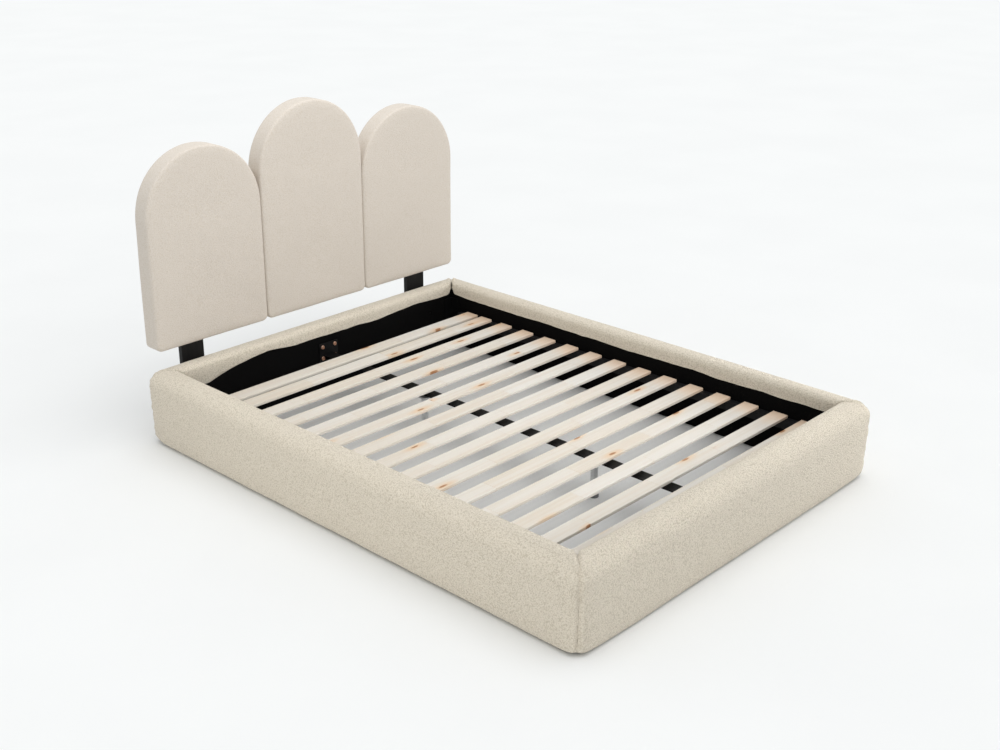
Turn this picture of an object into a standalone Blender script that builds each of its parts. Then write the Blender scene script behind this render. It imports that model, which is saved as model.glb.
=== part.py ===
"""Upholstered bed: an arched headboard on two legs, four padded rails, and a slatted base.

Metres, +Z up, +Y towards the headboard. The origin is on the floor under the middle of the bed.
The slatted well between the four rails takes a queen-size mattress.
"""
import bpy
import bmesh
from math import cos, pi, radians, sin
from mathutils import Matrix, Vector

GAP = 0.0003                    # clearance between two pieces that touch

# Mattress well and the rails round it
WELL_WIDTH = 1.550
WELL_LENGTH = 2.060
BOARD_THICK = 0.025
BOARD_LOW = 0.004
BOARD_TOP = 0.262
RAIL_TOP = 0.310                # crown of the padded roll
RAIL_THICK = 0.100              # inner face to the fullest part of the padding
RAIL_FOOT_DRAW = 0.003          # how far the padding draws in at the floor
RAIL_TOP_ROUND = 0.060
RAIL_LIP_ROUND = 0.020
RAIL_LOW_ROUND = 0.026
RAIL_WAIST = (0.165, 0.090)     # heights between which the side starts to draw in
RAIL_WAIST_DRAW = 0.4           # share of the draw reached at the lower of them
CORNER_ROUND = 0.055
LIP_THICK = 0.004
LIP_LOW = 0.246                 # where the fabric turned over the top ends

# Headboard: three arched pads in a row
PANEL_WIDTH = 0.5534
HEAD_THICK = 0.084
HEAD_LOW = 0.380
SIDE_ARCH_TOP = 1.173
MIDDLE_ARCH_TOP = 1.275
PAD_FRONT_ROUND = 0.018
PAD_REAR_ROUND = 0.005
PAD_CORNER_ROUND = 0.026
FOAM_THICK = 0.034
PAD_WALL = 0.020
CORE_THICK = 0.0177
CORE_BRIDGE_TOP = 0.800
CORE_BRIDGE_REACH = 0.060       # to each side of a seam between two arches
DUST_COVER_THICK = 0.0015
DUST_COVER_INSET = 0.009

# Headboard legs and their bolts
LEG_X = 0.633
LEG_WIDTH = 0.107
LEG_THICK = 0.022
LEG_EASE = 0.001                # between the legs and the head rail's padding
LEG_LOW = 0.045
LEG_TOP = 0.740
RAIL_BOLT_HEIGHTS = (0.095, 0.190)
CORE_BOLT_HEIGHTS = (0.470, 0.660)
BOLT_R = 0.004
BOLT_HEAD_R = 0.009
BOLT_HEAD_THICK = 0.005
BOLT_SHORT = 0.003              # how far a tip stays inside the board it is screwed into
HOLE_EASE = 0.0005
OVERRUN = 0.010                 # how far a cutter reaches past the face it cuts

# Slatted base
SLAT_TOP = 0.190
SLAT_THICK = 0.013
SLAT_WIDTH = 0.0665
SLAT_LENGTH = 1.536
SLAT_PITCH = 0.1323
FIRST_SLAT_FROM_HEAD = 0.148
SLAT_EASE = 0.0015
SLAT_STEPS = [0.68, 0.965] + [1.0] * 11 + [0.955]     # in pitches, from the head end
LEDGE_WIDTH = 0.028
LEDGE_HEIGHT = 0.040
LEDGE_LENGTH = 1.930
BEAM_DROP = 0.014               # the beam only meets the slats when they bend under load
BEAM_WIDTH = 0.056
BEAM_HEIGHT = 0.022
BEAM_WALL = 0.003
HANGER_WIDTH = 0.104
HANGER_THICK = 0.003
HANGER_LOW = 0.132
HANGER_TOP = 0.218
HANGER_SHELF = 0.034
HANGER_SHELF_WIDTH = 0.040
HANGER_BOLT_X = 0.0345
HANGER_BOLT_HEIGHTS = (0.150, 0.202)
BRACKET_ARM = 0.048
BRACKET_THICK = 0.003
BRACKET_LOW = 0.030
BRACKET_TOP = 0.235

# Centre supports under the beam
SUPPORT_Y = (0.420, -0.480)     # from the middle of the well
SUPPORT_R = 0.014
SUPPORT_LOW = 0.034
SUPPORT_CAP_R = 0.026
SUPPORT_CAP_THICK = 0.004
SOLE_R = 0.020
SOLE_THICK = 0.010
STUD_R = 0.006
STUD_TOP = 0.078
STUD_BORE_TOP = 0.100

# Worked out from the sizes above
HALF_W = WELL_WIDTH / 2
HALF_L = WELL_LENGTH / 2
LEG_FRONT = HALF_L + RAIL_THICK + LEG_EASE
LEG_REAR = LEG_FRONT + LEG_THICK
CORE_FRONT = LEG_FRONT - GAP - CORE_THICK
PAD_FRONT = CORE_FRONT - FOAM_THICK
PAD_REAR = PAD_FRONT + HEAD_THICK
DUST_COVER_FRONT = PAD_REAR + GAP
BACK_END = DUST_COVER_FRONT + DUST_COVER_THICK
FOOT_END = HALF_L + RAIL_THICK
WELL_Y = (FOOT_END - BACK_END) / 2          # middle of the well, with the whole bed centred on Y = 0
LEDGE_TOP = SLAT_TOP - SLAT_THICK - GAP
BEAM_TOP = LEDGE_TOP - BEAM_DROP
BEAM_LOW = BEAM_TOP - BEAM_HEIGHT

COLOURS = {                     # name: (linear colour, roughness, metallic)
    "boucle_fabric": ((0.66, 0.60, 0.50), 0.95, 0.0),
    "black_lining": ((0.010, 0.010, 0.011), 0.90, 0.0),
    "plywood": ((0.55, 0.40, 0.24), 0.70, 0.0),
    "pine": ((0.78, 0.64, 0.45), 0.60, 0.0),
    "black_wood": ((0.014, 0.014, 0.015), 0.60, 0.0),
    "black_steel": ((0.020, 0.020, 0.022), 0.45, 0.6),
    "bronze_steel": ((0.42, 0.22, 0.13), 0.40, 0.9),
    "zinc_steel": ((0.60, 0.61, 0.62), 0.35, 0.9),
    "grey_plastic": ((0.30, 0.30, 0.30), 0.50, 0.0),
}


def clear_scene():
    for obj in list(bpy.data.objects):
        bpy.data.objects.remove(obj, do_unlink=True)


def material(name, slot):
    colour, roughness, metallic = COLOURS[slot]
    made = bpy.data.materials.new(name)
    made.use_nodes = True
    shader = made.node_tree.nodes["Principled BSDF"]
    shader.inputs["Base Color"].default_value = (*colour, 1.0)
    shader.inputs["Roughness"].default_value = roughness
    shader.inputs["Metallic"].default_value = metallic
    return made


def node(name, bm, slot, smooth=True):
    """Turn a bmesh in well coordinates into one named object, moved so that the bed is centred."""
    bmesh.ops.recalc_face_normals(bm, faces=bm.faces)
    if bm.calc_volume(signed=True) < 0:
        bmesh.ops.reverse_faces(bm, faces=bm.faces)
    mesh = bpy.data.meshes.new(name)
    bm.to_mesh(mesh)
    bm.free()
    if smooth:
        mesh.shade_smooth()
        mesh.set_sharp_from_angle(angle=radians(35))
    obj = bpy.data.objects.new(name, mesh)
    obj.location = (0, WELL_Y, 0)
    obj.data.materials.append(material(name, slot))
    bpy.context.scene.collection.objects.link(obj)
    return obj


def box(low, high):
    bm = bmesh.new()
    centre = (Vector(low) + Vector(high)) / 2
    size = Vector(high) - Vector(low)
    bmesh.ops.create_cube(bm, size=1.0, matrix=Matrix.Translation(centre) @ Matrix.Diagonal((*size, 1)))
    return bm


def rod(radius, start, end, sides=16):
    """A cylinder between two points."""
    bm = bmesh.new()
    span = Vector(end) - Vector(start)
    turn = span.to_track_quat("Z", "Y").to_matrix().to_4x4()
    place = Matrix.Translation((Vector(start) + Vector(end)) / 2) @ turn
    bmesh.ops.create_cone(bm, cap_ends=True, segments=sides, radius1=radius, radius2=radius,
                          depth=span.length, matrix=place)
    return bm


def turned(profile, place=Matrix(), sides=20):
    """A solid of revolution about Z from (radius, z) points; first and last radii are 0."""
    bm = bmesh.new()
    tip = bm.verts.new((0, 0, profile[0][1]))
    tail = bm.verts.new((0, 0, profile[-1][1]))
    rings = []
    for radius, z in profile[1:-1]:
        angles = [2 * pi * k / sides for k in range(sides)]
        rings.append([bm.verts.new((radius * cos(a), radius * sin(a), z)) for a in angles])
    for k in range(sides):
        n = (k + 1) % sides
        bm.faces.new((tip, rings[0][n], rings[0][k]))
        bm.faces.new((tail, rings[-1][k], rings[-1][n]))
        for a, b in zip(rings, rings[1:]):
            bm.faces.new((a[k], a[n], b[n], b[k]))
    bm.transform(place)
    return bm


def arc(cx, cz, radius, start, end, steps):
    """Points on an arc, angles in degrees."""
    angles = [radians(start + (end - start) * k / steps) for k in range(steps + 1)]
    return [(cx + radius * cos(a), cz + radius * sin(a)) for a in angles]


def prism(outline, y0, y1):
    """Extrude a closed (x, z) outline from y0 to y1."""
    bm = bmesh.new()
    front = [bm.verts.new((x, y0, z)) for x, z in outline]
    back = [bm.verts.new((x, y1, z)) for x, z in outline]
    bm.faces.new(front)
    bm.faces.new(back[::-1])
    count = len(outline)
    for k in range(count):
        n = (k + 1) % count
        bm.faces.new((front[k], front[n], back[n], back[k]))
    return bm


def cut(obj, tools, operation="DIFFERENCE"):
    """Cut obj by, or join it with, each bmesh in tools. The tools stay as hidden wire guides."""
    for k, bm in enumerate(tools):
        tool = node(f"{obj.name}_{operation.lower()}_{k}", bm, "plywood", smooth=False)
        tool.hide_render = True
        tool.display_type = "WIRE"
        step = obj.modifiers.new(f"{operation.lower()}_{k}", "BOOLEAN")
        step.operation = operation
        step.solver = "EXACT"
        step.object = tool


# ---- padded rails ---------------------------------------------------------------------------

def rail_section():
    """Closed (outward, z) outline of the padding and fabric round a rail board."""
    lip = -LIP_THICK
    outer = arc(RAIL_THICK - RAIL_TOP_ROUND, RAIL_TOP - RAIL_TOP_ROUND, RAIL_TOP_ROUND, 90, 0, 6)
    inner = arc(lip + RAIL_LIP_ROUND, RAIL_TOP - RAIL_LIP_ROUND, RAIL_LIP_ROUND, 180, 90, 4)
    low_x = RAIL_THICK - RAIL_FOOT_DRAW - RAIL_LOW_ROUND
    low = arc(low_x, RAIL_LOW_ROUND, RAIL_LOW_ROUND, 0, -90, 5)
    waist = [(RAIL_THICK, RAIL_WAIST[0]), (RAIL_THICK - RAIL_WAIST_DRAW * RAIL_FOOT_DRAW, RAIL_WAIST[1])]
    board = BOARD_THICK + GAP
    inside = [(board, 0), (board, BOARD_TOP + GAP), (-GAP, BOARD_TOP + GAP), (-GAP, LIP_LOW)]
    return [(lip, LIP_LOW)] + inner + outer + waist + low + inside


def rail_path(u, half_run, half_across):
    """Plan points of one rail at outward offset u, mitre to mitre, with rounded corners."""
    padding = u - BOARD_THICK - GAP
    radius = CORNER_ROUND * max(padding, 0) / (RAIL_THICK - BOARD_THICK)
    steps = 4
    corner = []
    for k in range(steps + 1):
        turn = radians(45 - 45 * k / steps)
        along = -(half_run - GAP + u - radius) - radius * sin(turn)
        corner.append((along, half_across + u - radius + radius * cos(turn)))
    straight = [(-half_run / 2, half_across + u), (half_run / 2, half_across + u)]
    return corner + straight + [(-along, across) for along, across in reversed(corner)]


def rail_cover(half_run, half_across):
    """Sweep the section round a rail that runs along X, with its outside towards +Y."""
    bm = bmesh.new()
    columns = []
    for u, z in rail_section():
        path = rail_path(u, half_run, half_across)
        columns.append([bm.verts.new((along, across, z)) for along, across in path])
    count = len(columns)
    for k in range(count):
        a, b = columns[k], columns[(k + 1) % count]
        for s in range(len(a) - 1):
            bm.faces.new((a[s], a[s + 1], b[s + 1], b[s]))
    bm.faces.new([column[0] for column in columns])
    bm.faces.new([column[-1] for column in reversed(columns)])
    bmesh.ops.remove_doubles(bm, verts=bm.verts, dist=1e-6)
    return bm


def leg_bolt_holes(y0, y1):
    return [rod(BOLT_R + HOLE_EASE, (x, y0, z), (x, y1, z))
            for x in (-LEG_X, LEG_X) for z in RAIL_BOLT_HEIGHTS]


def hanger_bolt_holes(y0, y1):
    return [rod(BOLT_R + HOLE_EASE, (x, y0, z), (x, y1, z))
            for x in (-HANGER_BOLT_X, HANGER_BOLT_X) for z in HANGER_BOLT_HEIGHTS]


def make_rail_covers():
    head = node("head_rail_cover", rail_cover(HALF_W, HALF_L), "boucle_fabric")
    cut(head, leg_bolt_holes(HALF_L + BOARD_THICK / 2, HALF_L + RAIL_THICK + OVERRUN))
    foot = rail_cover(HALF_W, HALF_L)
    foot.transform(Matrix.Rotation(pi, 4, "Z"))
    node("foot_rail_cover", foot, "boucle_fabric")
    for name, turn in (("left", pi / 2), ("right", -pi / 2)):
        side = rail_cover(HALF_L, HALF_W)
        side.transform(Matrix.Rotation(turn, 4, "Z"))
        node(f"{name}_rail_cover", side, "boucle_fabric")


def make_rail_boards():
    for name, sign in (("left", -1), ("right", 1)):
        inner, outer = sign * HALF_W, sign * (HALF_W + BOARD_THICK)
        low = (min(inner, outer), -HALF_L, BOARD_LOW)
        high = (max(inner, outer), HALF_L, BOARD_TOP)
        node(f"{name}_rail_board", box(low, high), "black_lining", smooth=False)
    reach = HALF_W + BOARD_THICK
    for name, sign in (("head", 1), ("foot", -1)):
        inner, outer = sign * (HALF_L + GAP), sign * (HALF_L + BOARD_THICK)
        low = (-reach, min(inner, outer), BOARD_LOW)
        high = (reach, max(inner, outer), BOARD_TOP)
        board = node(f"{name}_rail_board", box(low, high), "black_lining", smooth=False)
        ends = sorted((inner - sign * OVERRUN, outer + sign * OVERRUN))
        tools = hanger_bolt_holes(*ends)
        if name == "head":
            tools += leg_bolt_holes(*ends)
        cut(board, tools)


def make_corner_brackets():
    for end, y_sign in (("head", 1), ("foot", -1)):
        for side, x_sign in (("left", -1), ("right", 1)):
            face_x, face_y = HALF_W - GAP, HALF_L - GAP
            outline = [(face_x, face_y), (face_x - BRACKET_ARM, face_y),
                       (face_x - BRACKET_ARM, face_y - BRACKET_THICK),
                       (face_x - BRACKET_THICK, face_y - BRACKET_THICK),
                       (face_x - BRACKET_THICK, face_y - BRACKET_ARM), (face_x, face_y - BRACKET_ARM)]
            bm = prism(outline, BRACKET_LOW, BRACKET_TOP)
            swap = Matrix(((x_sign, 0, 0, 0), (0, 0, y_sign, 0), (0, 1, 0, 0), (0, 0, 0, 1)))
            bm.transform(swap)
            node(f"{end}_{side}_corner_bracket", bm, "black_steel", smooth=False)


# ---- headboard ------------------------------------------------------------------------------

def arch_outline(centre_x, top, inset=0.0, steps=24):
    """Arch with its bottom corners rounded, drawn inset from the panel's own edge."""
    half = PANEL_WIDTH / 2
    radius = half - inset
    spring = top - half
    corner = max(PAD_CORNER_ROUND - inset, 0.002)
    low = HEAD_LOW + inset
    points = arc(centre_x, spring, radius, 0, 180, steps)
    points += arc(centre_x - radius + corner, low + corner, corner, 180, 270, 3)
    points += arc(centre_x + radius - corner, low + corner, corner, 270, 360, 3)
    return points


def pad_rings():
    """(inset, y) of each ring of a pad, rear to front."""
    rings = [(PAD_REAR_ROUND, PAD_REAR), (0.3 * PAD_REAR_ROUND, PAD_REAR - 0.3 * PAD_REAR_ROUND),
             (0, PAD_REAR - PAD_REAR_ROUND)]
    for k in range(6):
        turn = radians(90 * k / 5)
        rings.append((PAD_FRONT_ROUND * (1 - cos(turn)), PAD_FRONT + PAD_FRONT_ROUND * (1 - sin(turn))))
    return rings


def pad_solid(centre_x, top):
    bm = bmesh.new()
    rings = []
    for inset, y in pad_rings():
        outline = arch_outline(centre_x, top, inset + GAP / 2)
        rings.append([bm.verts.new((x, y, z)) for x, z in outline])
    for a, b in zip(rings, rings[1:]):
        for k in range(len(a)):
            n = (k + 1) % len(a)
            bm.faces.new((a[k], a[n], b[n], b[k]))
    bm.faces.new(rings[0])
    bm.faces.new(rings[-1][::-1])
    return bm


PANELS = (("left", -PANEL_WIDTH, SIDE_ARCH_TOP), ("middle", 0.0, MIDDLE_ARCH_TOP),
          ("right", PANEL_WIDTH, SIDE_ARCH_TOP))


def bridge(seam_x, y0, y1, low_inset, ease=0.0):
    """Block that carries a board across the seam between two arches, smaller all round by ease."""
    reach = CORE_BRIDGE_REACH - ease
    return box((seam_x - reach, y0, HEAD_LOW + low_inset), (seam_x + reach, y1, CORE_BRIDGE_TOP - ease))


def make_pads():
    seam = PANEL_WIDTH / 2
    for name, centre_x, top in PANELS:
        pad = node(f"headboard_pad_{name}", pad_solid(centre_x, top), "boucle_fabric")
        deep = PAD_REAR + OVERRUN
        tools = [prism(arch_outline(centre_x, top, PAD_WALL), CORE_FRONT - GAP, deep)]
        near = [x for x in (-seam, seam) if abs(x - centre_x) < PANEL_WIDTH]
        tools += [bridge(x, CORE_FRONT - GAP, deep, PAD_WALL) for x in near]
        if centre_x:
            x = LEG_X if centre_x > 0 else -LEG_X
            ease = LEG_WIDTH / 2 + HOLE_EASE
            tools.append(box((x - ease, LEG_FRONT - HOLE_EASE, HEAD_LOW - OVERRUN),
                             (x + ease, LEG_REAR + HOLE_EASE, HEAD_LOW + 2 * PAD_WALL)))
        cut(pad, tools)


def three_arches(name, inset, y0, y1, slot):
    """One board with the outline of all three arches, inset from the pads' edges."""
    _, centre_x, top = PANELS[1]
    board = node(name, prism(arch_outline(centre_x, top, inset), y0, y1), slot, smooth=False)
    tools = []
    for _, centre_x, top in (PANELS[0], PANELS[2]):
        tools.append(prism(arch_outline(centre_x, top, inset), y0, y1))
    tools += [bridge(x, y0, y1, inset, HOLE_EASE) for x in (-PANEL_WIDTH / 2, PANEL_WIDTH / 2)]
    cut(board, tools, "UNION")
    return board


def make_headboard_boards():
    core = three_arches("headboard_core_board", PAD_WALL + HOLE_EASE, CORE_FRONT,
                        CORE_FRONT + CORE_THICK, "plywood")
    cut(core, [rod(BOLT_R + HOLE_EASE, (x, CORE_FRONT - OVERRUN, z), (x, LEG_FRONT + OVERRUN, z))
               for x in (-LEG_X, LEG_X) for z in CORE_BOLT_HEIGHTS])
    three_arches("headboard_dust_cover", DUST_COVER_INSET, DUST_COVER_FRONT, BACK_END, "black_lining")


def bolt(name, x, z, head_y, tip_y, slot, direction=1):
    """Flanged bolt along Y; its head is at head_y and points towards direction * Y."""
    shank = abs(head_y - tip_y)
    profile = [(0, -shank), (BOLT_R, -shank), (BOLT_R, 0), (BOLT_HEAD_R, 0),
               (BOLT_HEAD_R, 0.5 * BOLT_HEAD_THICK), (0.85 * BOLT_HEAD_R, BOLT_HEAD_THICK),
               (0.45 * BOLT_HEAD_R, BOLT_HEAD_THICK), (0.45 * BOLT_HEAD_R, 0.35 * BOLT_HEAD_THICK),
               (0, 0.35 * BOLT_HEAD_THICK)]
    place = Matrix.Translation((x, head_y, z)) @ Matrix.Rotation(-direction * pi / 2, 4, "X")
    node(name, turned(profile, place, sides=12), slot)


def make_legs():
    for name, x in (("left", -LEG_X), ("right", LEG_X)):
        low = (x - LEG_WIDTH / 2, LEG_FRONT, LEG_LOW)
        high = (x + LEG_WIDTH / 2, LEG_REAR, LEG_TOP)
        leg = node(f"headboard_leg_{name}", box(low, high), "black_wood", smooth=False)
        cut(leg, [rod(BOLT_R + HOLE_EASE, (x, LEG_FRONT - OVERRUN, z), (x, LEG_REAR + OVERRUN, z))
                  for z in RAIL_BOLT_HEIGHTS + CORE_BOLT_HEIGHTS])
        for kind, heights, board_face in (("rail", RAIL_BOLT_HEIGHTS, HALF_L),
                                          ("core", CORE_BOLT_HEIGHTS, CORE_FRONT)):
            for place, z in zip(("lower", "upper"), heights):
                bolt(f"{kind}_bolt_{name}_{place}", x, z, LEG_REAR + GAP, board_face + BOLT_SHORT,
                     "black_steel")


# ---- slatted base ---------------------------------------------------------------------------

def make_slats():
    y = HALF_L - FIRST_SLAT_FROM_HEAD
    for number, step in enumerate([0.0] + SLAT_STEPS, start=1):
        y -= step * SLAT_PITCH
        low = (-SLAT_LENGTH / 2, y - SLAT_WIDTH / 2, SLAT_TOP - SLAT_THICK)
        high = (SLAT_LENGTH / 2, y + SLAT_WIDTH / 2, SLAT_TOP)
        slat = node(f"slat_{number:02d}", box(low, high), "pine", smooth=False)
        eased = slat.modifiers.new("eased_edges", "BEVEL")
        eased.width = SLAT_EASE
        eased.segments = 1


def make_ledges():
    for name, sign in (("left", -1), ("right", 1)):
        outer, inner = sign * (HALF_W - GAP), sign * (HALF_W - GAP - LEDGE_WIDTH)
        low = (min(inner, outer), -LEDGE_LENGTH / 2, LEDGE_TOP - LEDGE_HEIGHT)
        high = (max(inner, outer), LEDGE_LENGTH / 2, LEDGE_TOP)
        node(f"slat_ledge_{name}", box(low, high), "black_wood", smooth=False)


def make_beam():
    """T section, its flange flat below the slats."""
    half, web = BEAM_WIDTH / 2, BEAM_WALL / 2
    under = BEAM_TOP - BEAM_WALL
    outline = [(-half, BEAM_TOP), (-half, under), (-web, under), (-web, BEAM_LOW), (web, BEAM_LOW),
               (web, under), (half, under), (half, BEAM_TOP)]
    end = HALF_L - HANGER_THICK - 3 * GAP
    node("centre_beam", prism(outline, -end, end), "black_steel", smooth=False)


def make_hangers():
    """Bolted plates at both ends of the beam, each with a shelf under it."""
    shelf_top = BEAM_LOW - GAP
    shelf_low = shelf_top - HANGER_THICK
    half, shelf_half = HANGER_WIDTH / 2, HANGER_SHELF_WIDTH / 2
    for name, sign in (("head", 1), ("foot", -1)):
        wall, face = HALF_L - GAP, HALF_L - GAP - HANGER_THICK
        ends = sorted((sign * wall, sign * face))
        plate = box((-half, ends[0], HANGER_LOW), (half, ends[1], HANGER_TOP))
        hanger = node(f"beam_hanger_{name}", plate, "black_steel", smooth=False)
        reach = sorted((sign * (wall - HANGER_THICK / 2), sign * (face - HANGER_SHELF)))
        cut(hanger, [box((-shelf_half, reach[0], shelf_low), (shelf_half, reach[1], shelf_top))], "UNION")
        holes = sorted((sign * (face - OVERRUN), sign * (wall + OVERRUN)))
        cut(hanger, hanger_bolt_holes(*holes))
        for side, x in (("left", -HANGER_BOLT_X), ("right", HANGER_BOLT_X)):
            for place, z in zip(("lower", "upper"), HANGER_BOLT_HEIGHTS):
                head_y, tip_y = sign * (face - GAP), sign * (HALF_L + BOARD_THICK - BOLT_SHORT)
                bolt(f"hanger_bolt_{name}_{side}_{place}", x, z, head_y, tip_y, "bronze_steel", -sign)


def make_supports():
    """Round posts under the beam, each standing on a sole that screws up and down."""
    for number, y in enumerate(SUPPORT_Y, start=1):
        top = BEAM_LOW - GAP
        bore = STUD_R + HOLE_EASE
        post = [(0, top), (SUPPORT_CAP_R, top), (SUPPORT_CAP_R, top - SUPPORT_CAP_THICK),
                (SUPPORT_R, top - SUPPORT_CAP_THICK), (SUPPORT_R, SUPPORT_LOW), (bore, SUPPORT_LOW),
                (bore, STUD_BORE_TOP), (0, STUD_BORE_TOP)]
        place = Matrix.Translation((0, y, 0))
        node(f"support_post_{number}", turned(post, place, sides=24), "zinc_steel")
        sole = [(0, 0), (SOLE_R, 0), (SOLE_R, SOLE_THICK - 0.002), (SOLE_R - 0.003, SOLE_THICK),
                (STUD_R, SOLE_THICK), (STUD_R, STUD_TOP), (0, STUD_TOP)]
        node(f"levelling_foot_{number}", turned(sole, place, sides=24), "grey_plastic")


def main():
    clear_scene()
    make_rail_covers()
    make_rail_boards()
    make_corner_brackets()
    make_pads()
    make_headboard_boards()
    make_legs()
    make_slats()
    make_ledges()
    make_beam()
    make_hangers()
    make_supports()


main()
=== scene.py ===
"""Looks of the upholstered headboard bed: boucle padding, pine slats, black lining and metal."""

from math import cos, pi, radians, sin

import bmesh
import bpy
import numpy as np
from mathutils import Matrix, Vector, noise


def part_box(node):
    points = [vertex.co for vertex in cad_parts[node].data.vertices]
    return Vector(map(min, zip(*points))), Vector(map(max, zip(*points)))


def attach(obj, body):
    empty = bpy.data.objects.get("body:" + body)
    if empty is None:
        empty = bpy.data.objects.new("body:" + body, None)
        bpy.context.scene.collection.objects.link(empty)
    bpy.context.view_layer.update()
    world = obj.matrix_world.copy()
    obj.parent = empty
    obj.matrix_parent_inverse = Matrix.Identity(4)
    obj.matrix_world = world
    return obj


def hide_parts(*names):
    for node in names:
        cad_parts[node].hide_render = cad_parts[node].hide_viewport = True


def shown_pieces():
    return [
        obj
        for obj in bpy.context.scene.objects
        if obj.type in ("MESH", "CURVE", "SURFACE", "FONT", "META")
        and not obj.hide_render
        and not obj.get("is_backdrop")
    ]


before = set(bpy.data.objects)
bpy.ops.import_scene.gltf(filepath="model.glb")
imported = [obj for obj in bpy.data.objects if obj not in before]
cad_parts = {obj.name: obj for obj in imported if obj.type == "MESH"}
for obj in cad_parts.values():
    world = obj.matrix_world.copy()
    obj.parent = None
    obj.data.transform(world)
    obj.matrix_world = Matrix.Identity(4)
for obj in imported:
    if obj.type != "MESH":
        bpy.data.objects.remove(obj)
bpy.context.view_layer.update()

# ---- sizes --------------------------------------------------------------------------------------
# Read from the frame
SIDE_LOW, SIDE_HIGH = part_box("left_rail_board")
HALF_W = -SIDE_HIGH.x                       # inner face of the side boards
HALF_L = (SIDE_HIGH.y - SIDE_LOW.y) / 2
MID_Y = (SIDE_HIGH.y + SIDE_LOW.y) / 2
BOARD_THICK = SIDE_HIGH.x - SIDE_LOW.x
BOARD_TOP = SIDE_HIGH.z
RAIL_THICK = -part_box("left_rail_cover")[0].x - HALF_W
RAIL_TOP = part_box("left_rail_cover")[1].z
CORE_LOW, CORE_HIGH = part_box("headboard_core_board")
GAP = 0.0003                                # between neighbouring pieces

# Padded rails
TOP_ROUND, LIP_ROUND, LOW_ROUND = 0.060, 0.020, 0.026
LIP_THICK, LIP_LOW = 0.004, 0.250
FOOT_DRAW = 0.003                           # how far the side pulls in at the foot
BELLY = 0.0025                              # how far the side swells at half of BELLY_HIGH
BELLY_OVER, BELLY_HIGH = 0.3, 0.25          # it grows in over this length from a mitre, up to this height
BELLY_FROM = 0.09                           # and only where the fabric is further out than this
CRISP_LOW, CRISP_OVER = 0.013, 0.25         # the foot rail's lower edge is tighter away from its corners
CORNER_ROUND = 0.055
SEAM_DEEP, SEAM_WIDE = 0.0060, 0.007        # sewn corner seam
RIDGE_HIGH, RIDGE_AT, RIDGE_WIDE = 0.0030, 0.015, 0.009
SEAM_FADE = 0.035                           # the seam flattens out below this height
HEAD_LIFT, FOOT_LIFT = 0.022, 0.007         # the underside rises towards the corners
LIFT_WIDE, LIFT_TOP = 0.045, 0.100
RIPPLE_HIGH, RIPPLE_RATE = 0.0045, 9.0       # waves of the wrapped lip, per metre
FINE_HIGH, FINE_RATE = 0.0012, 31.0
NOTCH_HIGH, NOTCH_WIDE = 0.034, 0.011       # where two wrapped lips miss each other in a corner

# Headboard pads
PAD_WALL = 0.020
FRONT_ROUND, REAR_ROUND = 0.010, 0.005
PAD_CORNER = 0.026
LEAST_RADIUS, LEAST_CORNER = 0.0008, 0.0015 # the tightest that an outline's arch and corners get
REAR_RING = 0.012                           # inset of the ring on the back
MIDDLE_LEFT = 0.004                         # how far short of the middle the front's rings stop
EVEN_OUT, EVEN_FROM = 0.030, 0.040          # the swelling is evened out over this radius, away from the edge
POCKET_RINGS = 5                            # a pad's first rings, at its pocket and back, stay in place
TUCK, TUCK_AT, TUCK_REACH = 0.004, 0.90, 0.16   # outer sides pull in towards the back at this height

SOCKET_R, SOCKET_DEEP = 0.0042, 0.003       # hexagon sockets in the bolt heads

# Slow unevenness of the foam: height, size and seed shift of each layer
RAIL_UNEVEN = ((0.0011, 0.16, 0), (0.00045, 0.035, 9), (0.00008, 0.011, 21))
PAD_UNEVEN = ((0.0010, 0.18, 0), (0.0004, 0.04, 3), (0.00006, 0.011, 8))

# Cloth
SIM_FRAMES, SIM_PRESSURE, SIM_CAP = 20, 4.0, 0.006
FOAM_HOLD, PIN_STIFFNESS = 0.20, 2.0        # how firmly the foam under the cloth keeps its shape
SIM_SHRINK = 0.001                          # the simulated pads start this much smaller
COARSE, FINE = 0.013, 0.0055                # mesh spacing for the simulation and for the render
SEAM_SPACING, SPACING_GROWTH = 0.0025, 1.12 # rows are this close at a mitre, each step wider by this ratio
SEAM_REACH = 0.10                           # rows further than this from the mitre are evenly spaced

PANELS = {"headboard_pad_left": 1, "headboard_pad_middle": 2, "headboard_pad_right": 3}


# ---- mesh helpers -------------------------------------------------------------------------------
def new_object(name, verts, faces, smooth=True):
    mesh = bpy.data.meshes.new(name)
    mesh.from_pydata([tuple(v) for v in verts], [], faces)
    mesh.validate()
    bm = bmesh.new()
    bm.from_mesh(mesh)
    bmesh.ops.remove_doubles(bm, verts=bm.verts, dist=1e-6)
    bmesh.ops.recalc_face_normals(bm, faces=bm.faces)
    if bm.calc_volume(signed=True) < 0:
        bmesh.ops.reverse_faces(bm, faces=bm.faces)
    bm.to_mesh(mesh)
    bm.free()
    if smooth:
        mesh.shade_smooth()
        mesh.set_sharp_from_angle(angle=radians(60))
    made = bpy.data.objects.new(name, mesh)
    bpy.context.scene.collection.objects.link(made)
    return made


def simulated_object(name, verts, faces):
    """A closed mesh that faces outward, with its points kept in order."""
    mesh = bpy.data.meshes.new(name)
    mesh.from_pydata([tuple(v) for v in verts], [], faces)
    bm = bmesh.new()
    bm.from_mesh(mesh)
    bmesh.ops.recalc_face_normals(bm, faces=bm.faces)
    if bm.calc_volume(signed=True) < 0:
        bmesh.ops.reverse_faces(bm, faces=bm.faces)
    bm.to_mesh(mesh)
    bm.free()
    made = bpy.data.objects.new(name, mesh)
    bpy.context.scene.collection.objects.link(made)
    return made


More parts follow.
